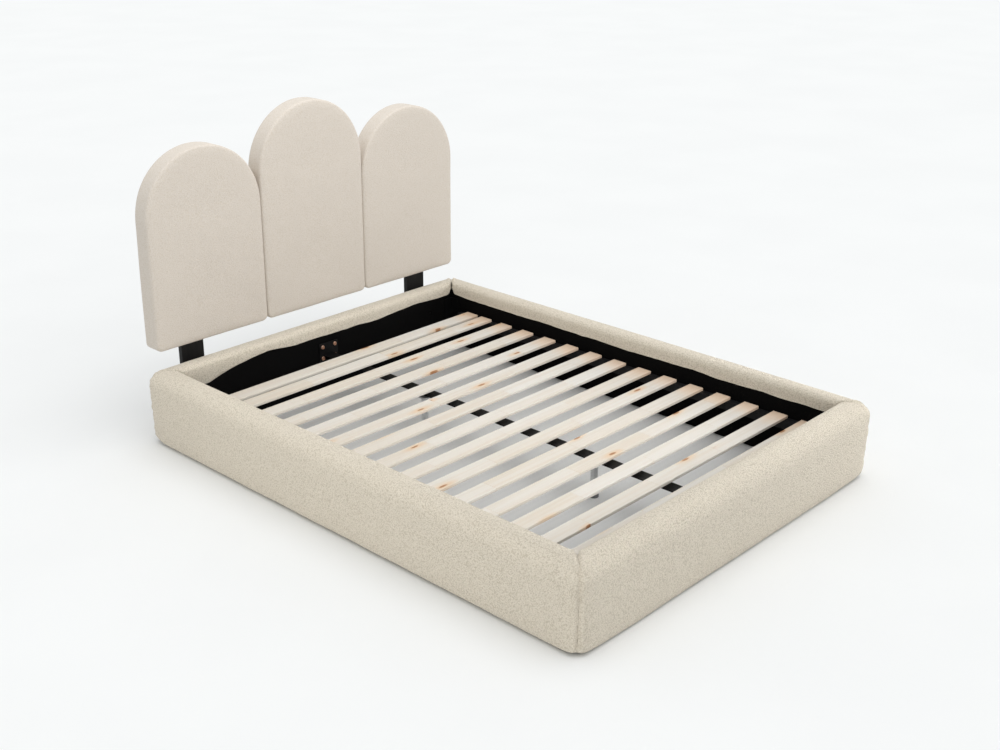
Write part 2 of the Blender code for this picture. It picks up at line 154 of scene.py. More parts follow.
def arc(cx, cz, radius, start, end, steps):
    turns = [radians(start + (end - start) * k / steps) for k in range(steps + 1)]
    return [(cx + radius * cos(a), cz + radius * sin(a)) for a in turns]


def spread(points, spacing):
    """The same open line with its points about spacing apart."""
    points = np.array(points, float)
    steps = np.linalg.norm(np.diff(points, axis=0), axis=1)
    keep = np.concatenate(([True], steps > 1e-7))
    points, steps = points[keep], steps[keep[1:]]
    run = np.concatenate(([0], np.cumsum(steps)))
    at = np.linspace(0, run[-1], max(2, int(round(run[-1] / spacing)) + 1))
    return np.stack([np.interp(at, run, points[:, k]) for k in range(points.shape[1])], 1)


def lumps(points, size, seed):
    """Smooth noise at each point, from -1 to 1, with features about size metres across."""
    shift = Vector((seed * 3.17, seed * 1.31, seed * 5.71))
    return np.array([noise.noise(Vector(p) / size + shift) for p in points])


def uneven(points, layers, seed):
    """Sum of noise layers, each a (height, size, seed shift)."""
    return sum(high * lumps(points, size, seed + shift) for high, size, shift in layers)


def grid_normals(points):
    """Unit normals of a (rows, columns, 3) grid of points."""
    a = np.gradient(points, axis=0)
    b = np.gradient(points, axis=1)
    n = np.cross(a, b)
    return n / np.maximum(np.linalg.norm(n, axis=2, keepdims=True), 1e-12)


# ---- padded rails -------------------------------------------------------------------------------
def cover_line(spacing):
    """(outward, z) points of the fabric, from the wrapped lip over the top to under the rail."""
    lip = -LIP_THICK
    line = [(lip, LIP_LOW)]
    line += arc(lip + LIP_ROUND, RAIL_TOP - LIP_ROUND, LIP_ROUND, 180, 90, 8)
    line += arc(RAIL_THICK - TOP_ROUND, RAIL_TOP - TOP_ROUND, TOP_ROUND, 90, 0, 16)
    line += [(RAIL_THICK, 0.165), (RAIL_THICK - 0.4 * FOOT_DRAW, 0.09)]
    line += arc(RAIL_THICK - FOOT_DRAW - LOW_ROUND, LOW_ROUND, LOW_ROUND, 0, -90, 10)
    line += [(BOARD_THICK + GAP, 0)]
    return spread(line, spacing)


def pocket_line():
    """(outward, z) points of the padding's inside, against the board."""
    board, top = BOARD_THICK + GAP, BOARD_TOP + GAP
    return np.array([(board, 0.13), (board, top), (-GAP, top), (-GAP, LIP_LOW)])


def run_distances(half, spacing):
    """Distances from the mitre at which the rail has a row of points, up to the middle."""
    near = [0.0]
    step = min(spacing, SEAM_SPACING)
    while near[-1] < SEAM_REACH:
        near.append(near[-1] + step)
        step = min(step * SPACING_GROWTH, spacing)
    count = max(2, int((half - near[-1]) / spacing))
    rest = [near[-1] + (half - near[-1]) * k / count for k in range(1, count + 1)]
    return np.array(near + rest)


def rail_point(u, d, half_run, half_across):
    """Plan point (along, across) at outward offset u, d metres from the mitre."""
    radius = CORNER_ROUND * max(u - BOARD_THICK - GAP, 0) / (RAIL_THICK - BOARD_THICK)
    turned = radius * pi / 4
    centre = half_run - GAP + u - radius
    if d < turned:
        a = pi / 4 - d / radius
        return -centre - radius * sin(a), half_across + u - radius + radius * cos(a)
    return -centre + (d - turned), half_across + u


def tighten(u, z, share):
    """A point of the lower outer edge, moved towards a smaller round by this share."""
    edge = RAIL_THICK - FOOT_DRAW
    x, y = u - (edge - LOW_ROUND), LOW_ROUND - z
    if share == 0 or x <= 0 or y <= 0:
        return u, z
    reach = max((x * x + y * y) ** 0.5, 1e-9)
    a = (x / reach, y / reach)
    target = (edge - CRISP_LOW * (1 - a[0]), CRISP_LOW * (1 - a[1]))
    return u + (target[0] - u) * share, z + (target[1] - z) * share


def rail_grid(line, distances, half_run, half_across, wave, sharp=0.0, lifts=(0, 0)):
    """(rows along the rail, columns round it, 3) points, with the lip's lower edge following wave."""
    half = distances[-1]
    rows = []
    straight = RAIL_TOP - LIP_ROUND
    for side, lift in zip((1, -1), lifts):
        for d in distances if side == 1 else distances[-2::-1]:
            row = []
            crisp = sharp * min(1.0, d / CRISP_OVER)
            for u, z in line:
                bulge = max(0.0, sin(pi * min(max(z / BELLY_HIGH, 0), 1)))
                u += BELLY * min(1.0, d / BELLY_OVER) * bulge * (u > BELLY_FROM)
                u, z = tighten(u, z, crisp)
                radius = CORNER_ROUND * max(u - BOARD_THICK - GAP, 0) / (RAIL_THICK - BOARD_THICK)
                length = half_run - GAP + u - radius + radius * pi / 4
                at = d
                if d >= SEAM_REACH:
                    at = SEAM_REACH + (d - SEAM_REACH) * (length - SEAM_REACH) / (half - SEAM_REACH)
                along, across = rail_point(u, at, half_run, half_across)
                z += lift * np.exp(-((at / LIFT_WIDE) ** 2)) * max(0.0, 1 - z / LIFT_TOP)
                row.append((along * side, across, z))
            low = wave(row[0][0], d)
            for k, (along, across, z) in enumerate(row):
                if line[k][0] <= 0 and z < straight:
                    z = straight - (straight - z) * (straight - low) / (straight - LIP_LOW)
                    row[k] = (along, across, z)
            rows.append(row)
    return np.array(rows)


def lip_wave(heights, seed):
    """How low the wrapped lip reaches along a rail, through (place, height) points and with ripples."""
    places, levels = zip(*heights)

    def wave(along, from_mitre):
        z = float(np.interp(along, places, levels))
        ripple = noise.noise(Vector((along * RIPPLE_RATE + seed * 7.3, seed, 0.5)))
        fine = noise.noise(Vector((along * FINE_RATE + seed * 3.1, 0.2, seed)))
        z += RIPPLE_HIGH * ripple + FINE_HIGH * fine
        return z + NOTCH_HIGH * np.exp(-((from_mitre / NOTCH_WIDE) ** 2))

    return wave


def closed_faces(rows, columns):
    """Quads of a tube of rows by columns points, closed at both ends."""
    faces = []
    for r in range(rows - 1):
        for c in range(columns):
            n = (c + 1) % columns
            a, b = r * columns, (r + 1) * columns
            faces.append((a + c, a + n, b + n, b + c))
    faces.append(tuple(range(columns))[::-1])
    faces.append(tuple((rows - 1) * columns + c for c in range(columns)))
    return faces


class Rail:
    """One padded rail: built coarse for the simulation, then fine with what the simulation found."""

    def __init__(self, name, half_run, half_across, turn, heights, lifts, seed):
        self.name, self.seed, self.lifts = name, seed, lifts
        self.half_run, self.half_across = half_run, half_across
        self.place = Matrix.Translation((0, MID_Y, 0)) @ Matrix.Rotation(turn, 4, "Z")
        self.wave = lip_wave(heights, seed)

    def grid(self, spacing):
        line = cover_line(spacing)
        distances = run_distances(self.half_run, spacing)
        sharp = 1.0 if "foot" in self.name else 0.0
        outside = rail_grid(line, distances, self.half_run, self.half_across, self.wave, sharp, self.lifts)
        inside = rail_grid(pocket_line(), distances, self.half_run, self.half_across, self.wave)
        steps = np.concatenate((distances, 2 * distances[-1] - distances[-2::-1]))
        return outside, inside, steps

    def mesh(self, name, outside, inside):
        every = np.concatenate((outside, inside), axis=1)
        rows, columns = every.shape[:2]
        points = [self.place @ Vector(p) for p in every.reshape(-1, 3)]
        return new_object(name, points, closed_faces(rows, columns))

    def start(self):
        outside, inside, steps = self.grid(COARSE)
        normals = grid_normals(outside)
        if normals[len(steps) // 2, outside.shape[1] // 2, 1] < 0:
            normals = -normals
        outside = outside - normals * SIM_SHRINK
        rows, columns = outside.shape[0], outside.shape[1] + inside.shape[1]
        every = np.concatenate((outside, inside), axis=1).reshape(-1, 3)
        made = simulated_object(self.name + "_sim", every, closed_faces(rows, columns))
        held = []
        for r in range(rows):
            for c in range(columns):
                edge = r in (0, rows - 1) or c < 2 or c >= outside.shape[1] - 2
                if edge:
                    held.append(r * columns + c)
        self.coarse = (outside, normals, steps, columns)
        return made, held

    def finish(self, moved):
        outside, inside, steps = self.grid(FINE)
        normals = grid_normals(outside)
        if normals[len(steps) // 2, outside.shape[1] // 2, 1] < 0:
            normals = -normals
        if moved is not None:
            was, _, coarse_steps, columns = self.coarse
            field = moved.reshape(len(coarse_steps), columns, 3)[:, : was.shape[1]]
            outside = outside - normals * SIM_SHRINK
            outside = outside + resample(field, coarse_steps, steps, outside.shape[1])
        outside = outside + normals * self.relief(outside, steps)[:, :, None]
        outside[:, :, 2] = np.maximum(outside[:, :, 2], 0)
        return self.mesh(self.name, outside, inside)

    def relief(self, points, steps):
        """Height of the seams at both ends and of the foam's slow unevenness."""
        rows, columns = points.shape[:2]
        flat = points.reshape(-1, 3)
        height = uneven(flat, RAIL_UNEVEN, self.seed).reshape(rows, columns)
        away = np.minimum(steps, steps[-1] - steps)[:, None]
        pucker = lumps(flat, 0.016, self.seed + 5).reshape(rows, columns)
        loose = lumps(flat, 0.045, self.seed + 6).reshape(rows, columns)
        sewn = np.clip(points[:, :, 2] / SEAM_FADE, 0, 1)
        height = height - sewn * SEAM_DEEP * np.exp(-((away / SEAM_WIDE) ** 2)) * (1 + 0.45 * pucker)
        ridge = RIDGE_HIGH * np.exp(-(((away - RIDGE_AT) / RIDGE_WIDE) ** 2))
        height = height + sewn * ridge * (0.5 + 1.1 * pucker + 0.5 * loose)
        keep = np.ones(columns)
        keep[0] = keep[-1] = 0
        return height * keep[None, :]


def resample(field, old_steps, new_steps, columns):
    """A coarse grid of vectors read at the fine grid's rows and columns."""
    across = np.linspace(0, 1, field.shape[1])
    fine_across = np.linspace(0, 1, columns)
    half = np.empty((field.shape[0], columns, 3))
    for r in range(field.shape[0]):
        for k in range(3):
            half[r, :, k] = np.interp(fine_across, across, field[r, :, k])
    out = np.empty((len(new_steps), columns, 3))
    old = old_steps / old_steps[-1]
    new = new_steps / new_steps[-1]
    for c in range(columns):
        for k in range(3):
            out[:, c, k] = np.interp(new, old, half[:, c, k])
    return out


# ---- headboard pads -----------------------------------------------------------------------------
class Pad:
    """One arched pad with a pocket behind it for the board."""

    def __init__(self, name, seed):
        low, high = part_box(name)
        self.name, self.seed = name, seed
        self.centre = (low.x + high.x) / 2
        self.half = (high.x - low.x) / 2
        self.low, self.top = low.z, high.z
        self.front, self.rear = low.y, high.y
        self.pocket = CORE_LOW.y - GAP

    def outline(self, inset, spacing):
        """(x, z) points round the arch, the same count at every inset, from the right spring point."""
        radius = max(self.half - inset, LEAST_RADIUS)
        spring = self.top - self.half
        corner = max(PAD_CORNER - inset, LEAST_CORNER)
        low = self.low + inset
        arch = max(8, int(pi * self.half / spacing))
        side = max(4, int((spring - self.low) / spacing))
        foot = max(4, int(2 * self.half / spacing / 2)) * 2
        turn = 5
        points = arc(self.centre, spring, radius, 0, 180, arch)
        left, right = self.centre - radius, self.centre + radius
        side_low = low + corner
        points += [(left, spring + (side_low - spring) * k / side) for k in range(1, side)]
        points += arc(left + min(corner, radius), side_low, min(corner, radius), 180, 270, turn)
        x0, x1 = left + min(corner, radius), right - min(corner, radius)
        points += [(x0 + (x1 - x0) * k / foot, low) for k in range(1, foot)]
        points += arc(x1, side_low, min(corner, radius), 270, 360, turn)
        points += [(right, side_low + (spring - side_low) * k / side) for k in range(1, side)]
        return points

    def rings(self, spacing):
        """(inset, y) of each ring, from the pocket's floor round the outside to the front's middle."""
        edge = self.front
        rings = [(PAD_WALL, self.pocket), (PAD_WALL, self.rear), (REAR_RING, self.rear)]
        rings += [(REAR_ROUND * (1 - sin(a)), self.rear - REAR_ROUND * (1 - cos(a)))
                  for a in (0, pi / 4, pi / 2)]
        depth = self.rear - REAR_ROUND - edge - FRONT_ROUND
        count = max(3, int(depth / spacing))
        rings += [(0, self.rear - REAR_ROUND - depth * k / count) for k in range(1, count)]
        steps = max(3, int(FRONT_ROUND * pi / 2 / spacing * 1.6))
        for k in range(steps + 1):
            a = pi / 2 * k / steps
            rings.append((FRONT_ROUND * (1 - cos(a)), edge + FRONT_ROUND * (1 - sin(a))))
        count = int((self.half - FRONT_ROUND) / spacing)
        for k in range(1, count + 1):
            inset = FRONT_ROUND + (self.half - MIDDLE_LEFT - FRONT_ROUND) * k / count
            rings.append((inset, edge))
        return rings

    def grid(self, spacing):
        rings = self.rings(spacing)
        grid = np.array([[(x, y, z) for x, z in self.outline(inset, spacing)] for inset, y in rings])
        outer = np.sign(self.centre) if abs(self.centre) > self.half else 0
        beyond = np.clip((grid[:, :, 0] - self.centre) * outer / self.half, 0, 1) ** 4
        back = np.clip((grid[:, :, 1] - self.front) / (self.rear - self.front), 0, 1)
        tuck = TUCK * beyond * back * np.exp(-(((grid[:, :, 2] - TUCK_AT) / TUCK_REACH) ** 2))
        grid[:, :, 0] -= outer * tuck
        return grid

    def faces(self, rows, columns, spacing):
        faces = []
        for r in range(rows - 1):
            for c in range(columns):
                n = (c + 1) % columns
                a, b = r * columns, (r + 1) * columns
                faces.append((a + c, b + c, b + n, a + n))
        arch = max(8, int(pi * self.half / spacing))
        for start, flip in (((rows - 1) * columns, 1), (0, -1)):
            # pair each point with its mirror image, from the top of the arch down both sides
            top = arch // 2
            pairs = []
            for k in range(columns // 2 + 1):
                a, b = (top - k) % columns, (arch - top + k) % columns
                pairs.append((a, b))
            for (a, b), (c, d) in zip(pairs, pairs[1:]):
                loop = [start + v for v in dict.fromkeys((a, c, d, b))]
                if len(loop) > 2:
                    faces.append(tuple(loop[::flip]))
        return faces

    def build(self, name, grid, spacing):
        return new_object(name, grid.reshape(-1, 3), self.faces(*grid.shape[:2], spacing))

    def start(self):
        grid = self.grid(COARSE)
        normals = self.normals(grid)
        small = grid - normals * SIM_SHRINK
        rows, columns = grid.shape[:2]
        made = simulated_object(self.name + "_sim", small.reshape(-1, 3), self.faces(rows, columns, COARSE))
        held = [r * columns + c for r in range(POCKET_RINGS) for c in range(columns)]
        self.coarse = small
        return made, held

    def evened(self, field):
        """The swelling of the front, smoothed so that it doesn't show the rings of the mesh."""
        inset = np.array([ring[0] for ring in self.rings(COARSE)])
        first = len(inset) - np.argmax(inset[::-1] < FRONT_ROUND)
        points = self.coarse[first:, :, ::2].reshape(-1, 2).astype(np.float32)
        near = sum((points[:, None, k] - points[None, :, k]) ** 2 for k in (0, 1))
        near = np.exp(-near / (2 * EVEN_OUT**2))
        smooth = near @ field[first:].reshape(-1, 3) / near.sum(1, keepdims=True)
        share = np.clip((inset[first:] - FRONT_ROUND) / EVEN_FROM, 0, 1)[:, None, None]
        field[first:] += share * (smooth.reshape(field[first:].shape) - field[first:])
        return field

    def normals(self, grid):
        ring = np.concatenate((grid[:, -1:], grid, grid[:, :1]), axis=1)
        normals = grid_normals(ring)[:, 1:-1]
        middle = normals[-3, :, 1].mean()
        if middle > 0:
            normals = -normals
        return normals

    def finish(self, moved):
        grid = self.grid(FINE)
        normals = self.normals(grid)
        if moved is not None:
            field = self.evened(moved.reshape(self.coarse.shape))
            field = np.concatenate((field, field[:, :1]), axis=1)
            old_rings = np.array(self.rings(COARSE))
            new_rings = np.array(self.rings(FINE))
            old = np.concatenate(([0], np.cumsum(np.linalg.norm(np.diff(old_rings, axis=0), axis=1))))
            new = np.concatenate(([0], np.cumsum(np.linalg.norm(np.diff(new_rings, axis=0), axis=1))))
            spun = resample(field, old, new, grid.shape[1] + 1)[:, :-1]
            grid = grid - normals * SIM_SHRINK + spun
        flat = grid.reshape(-1, 3)
        relief = uneven(flat, PAD_UNEVEN, self.seed).reshape(grid.shape[:2])
        relief[:POCKET_RINGS] = 0
        grid = grid + normals * relief[:, :, None]
        limit = self.half - GAP / 2
        grid[:, :, 0] = np.clip(grid[:, :, 0], self.centre - limit, self.centre + limit)
        return self.build(self.name, grid, FINE)


# ---- cloth --------------------------------------------------------------------------------------
def simulate(starts):
    """Swells every padded piece of starts, (object, held vertices), and gives how far each point went."""
    scene = bpy.context.scene
    for made, held in starts:
        group = made.vertex_groups.new(name="held")
        group.add(range(len(made.data.vertices)), FOAM_HOLD, "REPLACE")
        group.add(held, 1.0, "REPLACE")
        cloth = made.modifiers.new("cloth", "CLOTH")
        settings = cloth.settings
        settings.quality = 5
        settings.mass = 0.35
        settings.tension_stiffness = settings.compression_stiffness = 12
        settings.shear_stiffness = 6
        settings.bending_stiffness = 1.5
        settings.use_pressure = True
        settings.uniform_pressure_force = SIM_PRESSURE
        settings.effector_weights.gravity = 0
        settings.vertex_group_mass = group.name
        settings.pin_stiffness = PIN_STIFFNESS
        cloth.collision_settings.use_collision = False
        cloth.point_cache.frame_start, cloth.point_cache.frame_end = 1, SIM_FRAMES
    scene.frame_start, scene.frame_end = 1, SIM_FRAMES
    for step in range(1, SIM_FRAMES + 1):
        scene.frame_set(step)
    view = bpy.context.evaluated_depsgraph_get()
    results = []
    for made, _ in starts:
        mesh = made.evaluated_get(view).data
        now, was = np.empty(len(mesh.vertices) * 3), np.empty(len(mesh.vertices) * 3)
        mesh.vertices.foreach_get("co", now)
        made.data.vertices.foreach_get("co", was)
        moved = (now - was).reshape(-1, 3)
        length = np.linalg.norm(moved, axis=1, keepdims=True)
        results.append(moved * np.minimum(1, SIM_CAP / np.maximum(length, 1e-9)))
    for made, _ in starts:
        bpy.data.objects.remove(made, do_unlink=True)
    scene.frame_set(1)
    return results


# ---- materials ----------------------------------------------------------------------------------
class Look:
    """A node material being built."""

    def __init__(self, name):
        self.material = bpy.data.materials.new(name)
        self.material.use_nodes = True
        self.tree = self.material.node_tree
        self.shader = self.tree.nodes["Principled BSDF"]
        self.place = self.node("ShaderNodeTexCoord").outputs["Object"]

    def node(self, kind, **settings):
        made = self.tree.nodes.new(kind)
        for key, value in settings.items():
            setattr(made, key, value)
        return made

    def wire(self, source, target):
        if isinstance(source, bpy.types.NodeSocket):
            self.tree.links.new(source, target)
        else:
            target.default_value = source

    def scaled(self, scale, shift=(0, 0, 0), source=None):
        made = self.node("ShaderNodeMapping")
        self.wire(source or self.place, made.inputs["Vector"])
        made.inputs["Scale"].default_value = scale
        made.inputs["Location"].default_value = shift
        return made.outputs["Vector"]

    def noise(self, scale, detail=2.0, rough=0.5, distort=0.0, source=None, out="Fac"):
        made = self.node("ShaderNodeTexNoise")
        self.wire(source or self.place, made.inputs["Vector"])
        made.inputs["Scale"].default_value = scale
        made.inputs["Detail"].default_value = detail
        made.inputs["Roughness"].default_value = rough
        made.inputs["Distortion"].default_value = distort
        return made.outputs[out]

    def cells(self, scale, source=None, feature="F1", out="Distance", smooth=None, dimensions="3D"):
        made = self.node("ShaderNodeTexVoronoi", feature=feature, voronoi_dimensions=dimensions)
        self.wire(source or self.place, made.inputs["Vector"])
        made.inputs["Scale"].default_value = scale
        if smooth is not None:
            made.inputs["Smoothness"].default_value = smooth
        return made.outputs[out]

    def math(self, operation, a, b=0.0, c=0.0):
        made = self.node("ShaderNodeMath", operation=operation)
        for value, target in zip((a, b, c), made.inputs):
            self.wire(value, target)
        return made.outputs[0]

    def ramp(self, value, low, high, to_low=0.0, to_high=1.0):
        made = self.node("ShaderNodeMapRange", interpolation_type="SMOOTHSTEP")
        for source, name in ((value, "Value"), (low, "From Min"), (high, "From Max"),
                             (to_low, "To Min"), (to_high, "To Max")):
            self.wire(source, made.inputs[name])
        return made.outputs["Result"]

    def mix(self, factor, a, b, blend="MIX"):
        made = self.node("ShaderNodeMix", data_type="RGBA", blend_type=blend)
        self.wire(factor, made.inputs[0])
        self.wire((*a, 1) if isinstance(a, tuple) else a, made.inputs[6])
        self.wire((*b, 1) if isinstance(b, tuple) else b, made.inputs[7])
        return made.outputs[2]

    def offset(self, amount, source=None, scale=30.0, detail=2.0):
        """Coordinates pushed about by noise, amount metres."""
        push = self.noise(scale, detail, source=source, out="Color")
        made = self.node("ShaderNodeVectorMath", operation="MULTIPLY_ADD")
        self.wire(push, made.inputs[0])
        made.inputs[1].default_value = (amount,) * 3
        self.wire(source or self.place, made.inputs[2])
        return made.outputs[0]

    def split(self, source=None):
        made = self.node("ShaderNodeSeparateXYZ")
        self.wire(source or self.place, made.inputs[0])
        return made.outputs

    def bump(self, height, distance, strength=1.0):
        made = self.node("ShaderNodeBump")
        made.inputs["Strength"].default_value = strength
        made.inputs["Distance"].default_value = distance
        self.wire(height, made.inputs["Height"])
        return made.outputs["Normal"]

    def done(self, colour=None, roughness=None, normal=None, **sockets):
        for value, name in ((colour, "Base Color"), (roughness, "Roughness"), (normal, "Normal")):
            if value is not None:
                self.wire((*value, 1) if isinstance(value, tuple) else value, self.shader.inputs[name])
        for name, value in sockets.items():
            self.shader.inputs[name.replace("_", " ")].default_value = value
        return self.material


def boucle(name, nub, depth, blue):
    """Looped wool: soft nubs about nub metres across on a loose weave, with painted shade in the pits between
    the nubs.
    """
    look = Look(name)
    pushed = look.offset(0.9 * nub, scale=0.6 / nub)
    nubs = look.cells(1.0 / nub, pushed, "SMOOTH_F1", smooth=0.30)
    small = look.cells(2.4 / nub, look.offset(0.4 * nub, scale=2.0 / nub), "SMOOTH_F1", smooth=0.3)
    threads = look.noise(1.0, 3.0, 0.6, source=look.scaled((200, 200, 800)))
    uprights = look.noise(1.0, 3.0, 0.6, source=look.scaled((800, 800, 240), (3, 1, 7)))
    fibres = look.noise(1500.0, 2.0, 0.7)
    worn = look.noise(7.0, 3.0, 0.5)
    height = look.math("MULTIPLY_ADD", nubs, -1.25, 1.0)
    height = look.math("MULTIPLY_ADD", small, -0.40, height)
    height = look.math("MULTIPLY_ADD", threads, 0.30, height)
    height = look.math("MULTIPLY_ADD", uprights, 0.22, height)
    height = look.math("MULTIPLY_ADD", fibres, 0.15, height)
    normal = look.bump(height, 0.48 * nub, depth)
    # painted shade: the low parts between the nubs get a darker, warmer colour, darker still with a deeper
    # relief
    clear_of_pit_shade = look.ramp(height, 0.10, 0.75)
    shade = 1 - 0.27 * depth
    shaded_pits = (0.660 * shade, 0.590 * shade, 0.93 * blue * shade)
    colour = look.mix(clear_of_pit_shade, shaded_pits, (0.660, 0.603, blue))
    colour = look.mix(look.ramp(worn, 0.35, 0.7, 0.0, 0.10), colour, (0.605, 0.550, 0.90 * blue))
    roughness = look.ramp(height, 0.2, 0.8, 0.98, 0.88)
    return look.done(colour, roughness, normal, Sheen_Weight=0.20, Sheen_Roughness=0.5,
                     Sheen_Tint=(1.0, 0.97, 0.92, 1.0), Specular_IOR_Level=0.20)


def lining(name, tone):
    """Thin black cloth stretched over board."""
    look = Look(name)
    warp = look.noise(1.0, 2.0, 0.6, source=look.scaled((400, 400, 1900)))
    weft = look.noise(1.0, 2.0, 0.6, source=look.scaled((1900, 1900, 400), (2, 5, 1)))
    weave = look.math("ADD", warp, weft)
    lint = look.ramp(look.noise(480.0, 2.0, 0.7), 0.66, 0.78, 0.0, 0.5)
    dusty = look.ramp(look.noise(6.0, 4.0), 0.4, 0.75, 0.0, 0.5)
    dark, light = (tone * 0.6,) * 3, (tone * 1.7, tone * 1.6, tone * 1.65)
    colour = look.mix(look.ramp(weave, 0.75, 1.25), dark, light)
    colour = look.mix(dusty, colour, (tone * 1.5, tone * 1.45, tone * 1.5))
    colour = look.mix(lint, colour, (tone * 3.2, tone * 3.0, tone * 3.0))
    normal = look.bump(weave, 0.0006, 0.6)
    return look.done(colour, look.ramp(weave, 0.7, 1.3, 0.95, 0.78), normal,
                     Specular_IOR_Level=0.05)


def pine(seed, name="pine"):
    """Planed softwood slat, finger-jointed from short lengths, with its grain along X."""
    look = Look(f"{name}_{seed}")
    shift = (seed * 1.37, seed * 2.11, seed * 0.83)
    x, y = look.split()[:2]
    run = look.math("MULTIPLY_ADD", x, 2.1 + 0.13 * (seed % 5), seed * 0.37)
    length = look.math("FLOOR", run)
    into = look.math("FRACT", run)
    tone = look.node("ShaderNodeTexWhiteNoise", noise_dimensions="2D")
    key = look.node("ShaderNodeCombineXYZ")
    look.wire(length, key.inputs[0])
    key.inputs[1].default_value = seed * 1.7
    look.wire(key.outputs[0], tone.inputs["Vector"])
    piece = tone.outputs["Value"]
    # each short length has its own rings
    moved = look.node("ShaderNodeVectorMath", operation="MULTIPLY_ADD")
    look.wire(tone.outputs["Color"], moved.inputs[0])
    moved.inputs[1].default_value = (3.0, 0.6, 0.6)
    look.wire(look.scaled((1, 1, 1), shift), moved.inputs[2])
    own = moved.outputs[0]
    bend = look.noise(1.0, 2.0, source=look.scaled((1.6, 9, 9), source=own))
    rings = look.noise(1.0, 1.0, 0.4, 0.4, source=look.scaled((1.1, 75, 75), source=own))
    rings = look.math("MULTIPLY_ADD", bend, 0.5, rings)
    fibre = look.noise(1.0, 4.0, 0.65, source=look.scaled((14, 900, 900), source=own))
    # knots
    spots = look.offset(0.12, look.scaled((3.4, 12.5, 0.0), source=own), 3.0)
    knot = look.cells(1.0, spots, dimensions="2D")
    chance = look.cells(1.0, spots, out="Color", dimensions="2D")
    lucky = look.ramp(look.split(chance)[0], 0.66, 0.70)
    halo = look.math("MULTIPLY", look.ramp(knot, 0.30, 0.05), lucky)
    core = look.math("MULTIPLY", look.ramp(knot, 0.085, 0.045), lucky)
    colour = look.mix(look.ramp(rings, 0.55, 0.95, 0.0, 0.55), (0.560, 0.540, 0.502), (0.515, 0.452, 0.372))
    colour = look.mix(look.ramp(fibre, 0.35, 0.75, 0.0, 0.30), colour, (0.598, 0.582, 0.550))
    colour = look.mix(look.math("MULTIPLY", piece, 0.42), colour, (0.920, 0.840, 0.730), "MULTIPLY")
    colour = look.mix(look.math("MULTIPLY", halo, 0.62), colour, (0.560, 0.370, 0.205))
    colour = look.mix(core, colour, (0.280, 0.130, 0.055))
    # finger joints
    fingers = look.math("PINGPONG", y, 0.0045)
    edge = look.math("MULTIPLY_ADD", fingers, 2.4, into)
    off_joint = look.math("ABSOLUTE", look.math("SUBTRACT", edge, 0.012))
    line = look.math("SUBTRACT", 1.0, look.ramp(off_joint, 0.0004, 0.0018))
    colour = look.mix(look.math("MULTIPLY", line, 0.60), colour, (0.330, 0.190, 0.095))
    # painted warm shade on the slats' right ends, next to the right rail
    end = look.ramp(look.math("MULTIPLY_ADD", look.noise(14.0, 3.0, source=own), 0.09, x), 0.66, 0.80)
    colour = look.mix(look.math("MULTIPLY", end, 0.55), colour, (0.620, 0.400, 0.235))
    grain = look.math("MULTIPLY_ADD", fibre, 0.5, rings)
    normal = look.bump(grain, 0.0007, 0.45)
    return look.done(colour, look.ramp(fibre, 0.2, 0.8, 0.72, 0.52), normal, Specular_IOR_Level=0.35)


def painted_wood():
    """Black stained timber."""
    look = Look("black_wood")
    own = look.scaled((60, 60, 3))
    pores = look.noise(1.0, 5.0, 0.65, source=look.scaled((700, 700, 26)))
    rings = look.noise(1.0, 3.0, source=own)
    colour = look.mix(look.ramp(rings, 0.35, 0.7), (0.0032, 0.0030, 0.0034), (0.0070, 0.0065, 0.0070))
    colour = look.mix(look.ramp(pores, 0.58, 0.72, 0.0, 0.6), colour, (0.011, 0.0105, 0.011))
    normal = look.bump(look.math("MULTIPLY_ADD", pores, 0.6, rings), 0.0005, 0.4)
    return look.done(colour, look.ramp(pores, 0.3, 0.7, 0.66, 0.50), normal, Specular_IOR_Level=0.25)


def powder_coat(name="black_steel"):
    """Fine-textured black powder coat on steel."""
    look = Look(name)
    orange_peel = look.noise(900.0, 2.0, 0.6)
    rub = look.noise(22.0, 5.0, 0.6)
    colour = look.mix(look.ramp(rub, 0.5, 0.8, 0.0, 0.6), (0.0026, 0.0026, 0.0028), (0.0055, 0.0055, 0.0057))
    normal = look.bump(orange_peel, 0.0004, 0.5)
    return look.done(colour, look.ramp(orange_peel, 0.3, 0.7, 0.50, 0.36), normal,
                     Specular_IOR_Level=0.18)


def metal(name, colour_low, colour_high, rough_low, rough_high, metallic=0.9):
    """Plated steel with faint turning marks and stains."""
    look = Look(name)
    marks = look.noise(1.0, 3.0, 0.6, source=look.scaled((120, 120, 2600)))
    stain = look.noise(70.0, 4.0, 0.6)
    colour = look.mix(look.ramp(stain, 0.35, 0.7), colour_low, colour_high)
    normal = look.bump(marks, 0.0002, 0.35)
    rough = look.ramp(look.math("MULTIPLY_ADD", marks, 0.4, stain), 0.4, 1.0, rough_low, rough_high)
    return look.done(colour, rough, normal, Metallic=metallic)


def plywood():
    look = Look("plywood")
    ply = look.math("PINGPONG", look.split()[1], 0.0015)
    layers = look.ramp(ply, 0.0004, 0.0011)
    face = look.noise(1.0, 4.0, 0.6, source=look.scaled((9, 9, 90)))
    fibre = look.noise(1.0, 3.0, 0.6, source=look.scaled((40, 40, 800)))
    colour = look.mix(look.ramp(face, 0.3, 0.75), (0.560, 0.400, 0.240), (0.400, 0.260, 0.140))
    colour = look.mix(look.math("MULTIPLY", layers, 0.35), colour, (0.300, 0.180, 0.090))
    normal = look.bump(look.math("ADD", face, fibre), 0.0005, 0.4)
    return look.done(colour, look.ramp(fibre, 0.3, 0.7, 0.75, 0.6), normal)


